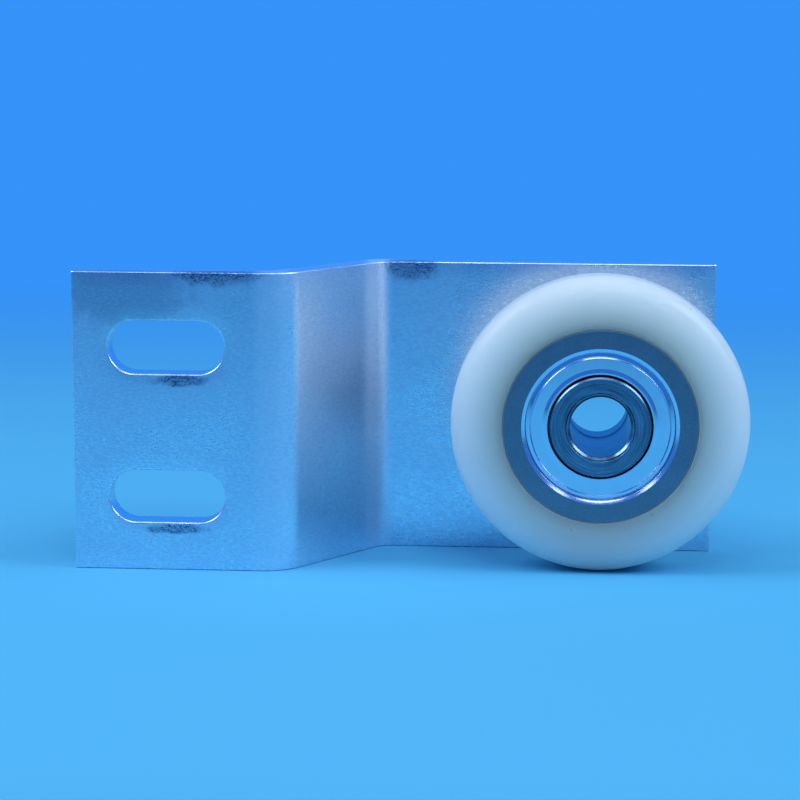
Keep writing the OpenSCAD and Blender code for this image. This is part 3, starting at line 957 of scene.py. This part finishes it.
def make_floor(settings):
    """Floor that sweeps up into a backdrop: a straight run, a quarter circle and a wall,
    carried along X, a hair below the object."""
    level = min(TYRE_LOW.z, BRACKET_LOW.z) - GAP
    front, back, sweep, wall_top, half_width = -1.2, 0.55, 0.35, 1.6, 1.6
    bend = np.linspace(0, np.pi / 2, 25)
    depth = np.concatenate([[front], back + sweep * np.sin(bend), [back + sweep]])
    height = np.concatenate([[0.0], sweep * (1 - np.cos(bend)), [wall_top]])
    across = np.linspace(-half_width, half_width, 9)
    grid = np.stack([across + 0 * depth[:, None], depth[:, None] + 0 * across,
                     level + height[:, None] + 0 * across], axis=-1)
    mesh = bpy.data.meshes.new("floor")
    mesh.from_pydata(grid.reshape(-1, 3), [], quads(*grid.shape[:2]))
    mesh.shade_smooth()
    floor = bpy.data.objects.new("floor", mesh)
    bpy.context.scene.collection.objects.link(floor)
    floor.data.materials.append(floor_finish(settings))


def floor_finish(settings):
    """Plain coloured sheet. Towards the viewer its colour is darkened, a painted shade that the
    metal mirrors, and far behind the object it shows its own colour, lit or not."""
    f = Finish("floor_paper", metallic=0.0)
    clouds = f.noise(6, 2.0, 0.5)
    base = f.mix(f.spread(clouds, 0.3, 0.7, 0.0, 0.5), settings.floor,
                 darker(settings.floor, 0.97))
    y = f.along("Y")
    # painted shade: the floor's colour darkens towards black nearer the viewer
    near = f.spread(y, -0.60, -0.12, 0.6, 0.0)
    base = f.mix(near, base, (0.0, 0.0, 0.0))
    material = f.paint(Base_Color=base, Roughness=0.8, Specular_IOR_Level=0.2)
    far = f.spread(y, 0.10, 0.50, smooth=True)
    shown = f.add("ShaderNodeEmission", color=(*settings.backdrop, 1.0), strength=1.0)
    f.feed(f.output.inputs["Surface"], f.blend(f.times(far, f.seen()), f.shader, shown))
    return material


def make_world(scene, settings):
    """Dim blue light from all round. Where the sheet ends, the camera and the metal see
    its blue go on instead."""
    world = bpy.data.worlds.new("room")
    scene.world = world
    world.use_nodes = True
    n = Nodes(world.node_tree)
    room = n.add("ShaderNodeBackground", color=(*settings.world, 1.0),
                 strength=settings.world_strength)
    distance = n.add("ShaderNodeBackground", color=(*settings.distance, 1.0), strength=1.0)
    n.add("ShaderNodeOutputWorld", surface=n.blend(n.seen(), room, distance))


def make_lamps(settings):
    """Soft boxes high beside and above the object, and weak ones nearer the camera,
    whose reflections light up the bevels. Each faces the origin."""
    # name, place and size in metres, power in watts
    boxes = (
        ("left_box", (-0.60, -0.12, 0.52), (0.42, 0.42), 3.3),
        ("right_box", (0.60, -0.12, 0.52), (0.42, 0.42), 3.3),
        ("top_box", (0.0, 0.0, 0.85), (0.60, 0.50), 1.1),
        ("top_strip", (0.0, -0.56, 0.60), (0.50, 0.06), 0.23),
        ("top_front", (0.0, -0.40, 0.70), (0.40, 0.50), 1.25),
        ("left_front", (-0.44, -0.67, 0.40), (0.15, 0.15), 0.13),
        ("right_front", (0.40, -0.66, 0.45), (0.15, 0.15), 0.13),
    )
    for name, place, size, power in boxes:
        light = bpy.data.lights.new(name, "AREA")
        light.shape = "RECTANGLE"
        light.color = settings.lamps
        light.size, light.size_y = size
        light.energy = power
        lamp = bpy.data.objects.new(name, light)
        bpy.context.scene.collection.objects.link(lamp)
        lamp.location = place
        lamp.rotation_euler = Vector(place).to_track_quat("Z", "Y").to_euler()


def make_camera(scene, settings):
    """Camera that looks along +Y, turned to the left, tilted down and rolled."""
    camera = bpy.data.cameras.new("camera")
    camera.sensor_width, camera.lens = 36.0, settings.lens
    camera.clip_start, camera.clip_end = 0.01, 20.0
    eye = bpy.data.objects.new("camera", camera)
    scene.collection.objects.link(eye)
    ahead = Vector((-math.sin(settings.turn) * math.cos(settings.tilt),
                    math.cos(settings.turn) * math.cos(settings.tilt),
                    -math.sin(settings.tilt)))
    right = Vector((math.cos(settings.turn), math.sin(settings.turn), 0.0))
    up = right.cross(ahead)
    cos_roll, sin_roll = math.cos(settings.roll), math.sin(settings.roll)
    right, up = right * cos_roll + up * sin_roll, up * cos_roll - right * sin_roll
    eye.rotation_euler = Matrix((right, up, -ahead)).transposed().to_euler()
    eye.location = settings.eye
    scene.camera = eye


class DOORROLLER_PT_panel(bpy.types.Panel):
    """Lists the sizes, and the pieces in the order in which they are made"""
    bl_label = "Door roller"
    bl_idname = "DOORROLLER_PT_panel"
    bl_space_type = "VIEW_3D"
    bl_region_type = "UI"
    bl_category = "Door roller"

    def draw(self, context):
        layout = self.layout
        for name in GROUPS:
            group = getattr(context.scene, name)
            box = layout.box()
            box.label(text=name.replace("_", " ").capitalize())
            for prop in group.bl_rna.properties.keys():
                if prop not in {"rna_type", "name"}:
                    box.prop(group, prop)
        for operator in OPERATORS:
            layout.operator(operator.bl_idname)


GROUPS = {"bracket_sizes": BracketSizes, "bearing_sizes": BearingSizes,
          "tyre_sizes": TyreSizes, "finishes": Finishes, "stage_settings": StageSettings}
OPERATORS = (DOORROLLER_OT_bracket, DOORROLLER_OT_tyre, DOORROLLER_OT_outer_ring,
             DOORROLLER_OT_shields, DOORROLLER_OT_inner_ring, DOORROLLER_OT_rivet,
             DOORROLLER_OT_balls, DOORROLLER_OT_stage)


def register():
    """Makes the sizes, the operators and the panel known."""
    for group in GROUPS.values():
        bpy.utils.register_class(group)
    for name, group in GROUPS.items():
        setattr(bpy.types.Scene, name, PointerProperty(type=group))
    for operator in OPERATORS:
        bpy.utils.register_class(operator)
    bpy.utils.register_class(DOORROLLER_PT_panel)


def unregister():
    """Takes them away again, in the opposite order."""
    bpy.utils.unregister_class(DOORROLLER_PT_panel)
    for operator in reversed(OPERATORS):
        bpy.utils.unregister_class(operator)
    for name in GROUPS:
        delattr(bpy.types.Scene, name)
    for group in reversed(list(GROUPS.values())):
        bpy.utils.unregister_class(group)


def main():
    """Makes every piece and the stage."""
    register()
    bpy.ops.door_roller.bracket()
    bpy.ops.door_roller.tyre()
    bpy.ops.door_roller.outer_ring()
    bpy.ops.door_roller.shields()
    bpy.ops.door_roller.inner_ring()
    bpy.ops.door_roller.rivet()
    bpy.ops.door_roller.balls()
    bpy.ops.door_roller.stage()


if __name__ == "__main__":
    main()
